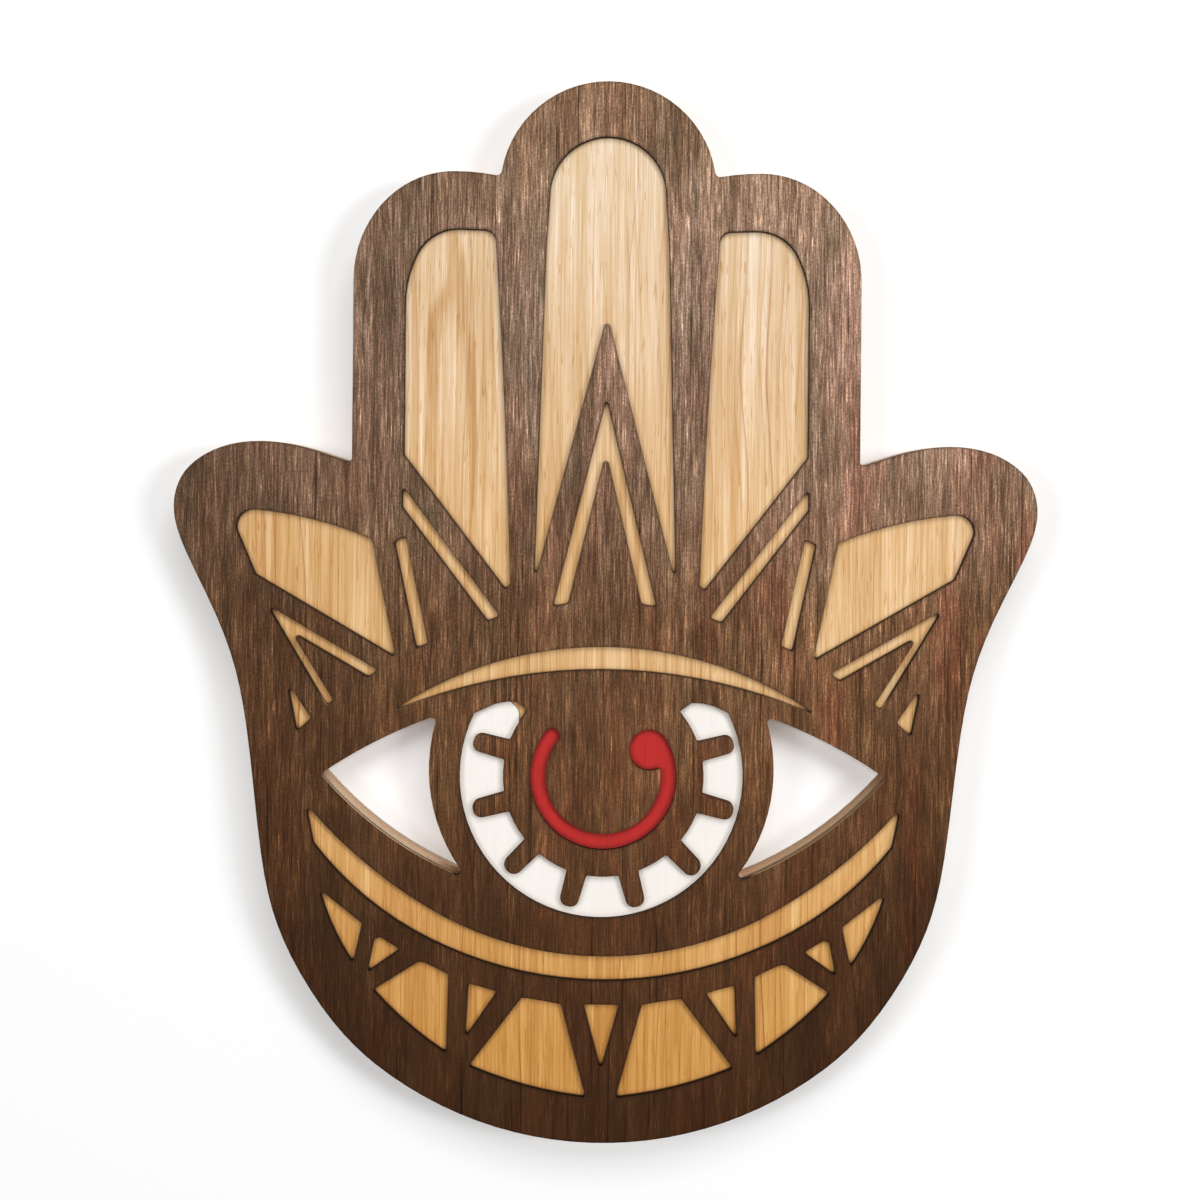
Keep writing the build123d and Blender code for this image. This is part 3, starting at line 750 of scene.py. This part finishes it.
def flat_sheet(name, width, depth, centre, upright=False):
    """A flat rectangle with its mesh where it stands, facing up, or to the front where it is upright."""
    shape = bmesh.new()
    bmesh.ops.create_grid(shape, x_segments=1, y_segments=1, size=0.5)
    bmesh.ops.scale(shape, vec=(width, depth, 1.0), verts=shape.verts)
    if upright:
        quarter_turn = Matrix.Rotation(math.radians(90), 3, "X")
        bmesh.ops.rotate(shape, cent=(0.0, 0.0, 0.0), matrix=quarter_turn, verts=shape.verts)
    bmesh.ops.translate(shape, vec=centre, verts=shape.verts)
    mesh = bpy.data.meshes.new(name)
    shape.to_mesh(mesh)
    shape.free()
    made = bpy.data.objects.new(name, mesh)
    bpy.context.scene.collection.objects.link(made)
    return made


def make_floor_paint():
    """Matt grey paint with the faint mottle of a roller."""
    grey = (floor_level, floor_level, floor_level, 1.0)
    made, tree, shader, where = finish("floor_paint", grey, 0.9, specular=0.0)
    darkest = 0.98 * floor_level
    mottle = span(tree, noise(tree, where, Scale=260.0), 0.3, 0.7, darkest, floor_level)
    tree.links.new(mottle, shader.inputs["Base Color"])
    return made


def make_wall_plaster():
    """Matt white, clear from behind, with painted light, brighter and bluer, inside the eye's openings and
    brown shade at their upper inner corners.
    """
    made, tree, shader, where = finish("wall_plaster", wall_white, 0.9, specular=0.0)
    inside = use(tree, eye_openings, Vector=where)["Inside"]
    x, y, z = axes_of(tree, where)
    off = calc(tree, "ABSOLUTE", x)
    corner = product(tree, span(tree, off, *corner_fade_out), span(tree, z, *corner_fade_down))
    shade = corner_shade(tree, distance=corner_brown_reach)
    deep = product(tree, product(tree, span(tree, shade, *corner_brown_fade), corner), inside)
    # Painted light: a brighter, bluer white inside the eye's openings
    white = blend(tree, inside, wall_white, opening_painted_light)
    white = blend(tree, product(tree, deep, corner_brown_share), white, opening_brown)
    tree.links.new(white, shader.inputs["Base Color"])
    clear = add(tree, "ShaderNodeBsdfTransparent")
    either = add(tree, "ShaderNodeMixShader")
    tree.links.new(add(tree, "ShaderNodeNewGeometry").outputs["Backfacing"], either.inputs[0])
    tree.links.new(shader.outputs[0], either.inputs[1])
    tree.links.new(clear.outputs[0], either.inputs[2])
    tree.links.new(either.outputs[0], tree.nodes["Material Output"].inputs["Surface"])
    return made


# The wall throws no shadow, so that the light behind passes it, and both sheets throw no light back
wall_centre = (0.0, wall_front, floor_height + wall_height / 2)
wall = flat_sheet("room_wall", wall_width, wall_height, wall_centre, upright=True)
wall.data.materials.append(make_wall_plaster())
wall.visible_shadow = False
floor = flat_sheet("room_floor", floor_side, floor_side, (0.0, 0.0, floor_height))
floor.data.materials.append(make_floor_paint())
for sheet in (wall, floor):
    sheet.visible_diffuse = False
    sheet.visible_glossy = False


# The lights

def soft_light(name, place_at, width, height, power):
    """An area light that shines at the middle of the plaque."""
    lamp = bpy.data.lights.new(name, "AREA")
    lamp.shape = "RECTANGLE"
    lamp.size = width
    lamp.size_y = height
    lamp.energy = power
    made = bpy.data.objects.new(name, lamp)
    made.location = place_at
    made.rotation_mode = "QUATERNION"
    made.rotation_quaternion = (Vector(place_at) - hand_centre).to_track_quat("Z", "Y")
    bpy.context.scene.collection.objects.link(made)


soft_light("front_light", (0.0, -2.6, -0.02), width=0.2, height=0.35, power=24.5)
soft_light("top_light", (0.3, -2.2, 1.15), width=1.2, height=1.2, power=23.0)
soft_light("key_light_right", (1.45, -2.3, 0.05), width=0.7, height=0.5, power=19.0)
soft_light("fill_light_left", (-1.3, -2.4, 0.05), width=0.7, height=0.5, power=12.5)
soft_light("back_light", (0.7, 2.2, 0.9), width=1.4, height=1.4, power=38.0)

# The room's own light on things, and how bright the room itself looks
room_light = 0.10
room_seen = 0.82

world = bpy.data.worlds.new("pale room")
world.use_nodes = True
surround = world.node_tree.nodes["Background"]
surround.inputs["Color"].default_value = (1.0, 1.0, 1.0, 1.0)
seen = add(world.node_tree, "ShaderNodeLightPath").outputs["Is Camera Ray"]
brightness = between(world.node_tree, seen, room_light, room_seen)
world.node_tree.links.new(brightness, surround.inputs["Strength"])
bpy.context.scene.world = world


# The camera, at the photograph's angle, with half the width of its view over the distance, a little drawn in

camera_place = (-0.0003, -1.0314, -0.0709)
camera_roll = -0.0088
camera_shift = (-0.0042, -0.0942)
half_view_slope = 0.2296
view_drawn_in = 1.010

lens = bpy.data.cameras.new("camera")
lens.sensor_width = 36.0
lens.lens = lens.sensor_width / 2 / (half_view_slope / view_drawn_in)
lens.shift_x, lens.shift_y = camera_shift
lens.clip_start = 0.05
lens.clip_end = 20.0
camera = bpy.data.objects.new("camera", lens)
camera.location = camera_place
camera.rotation_euler = (math.radians(90), camera_roll, 0.0)
bpy.context.scene.collection.objects.link(camera)
bpy.context.scene.camera = camera
bpy.context.scene.view_settings.view_transform = "Standard"
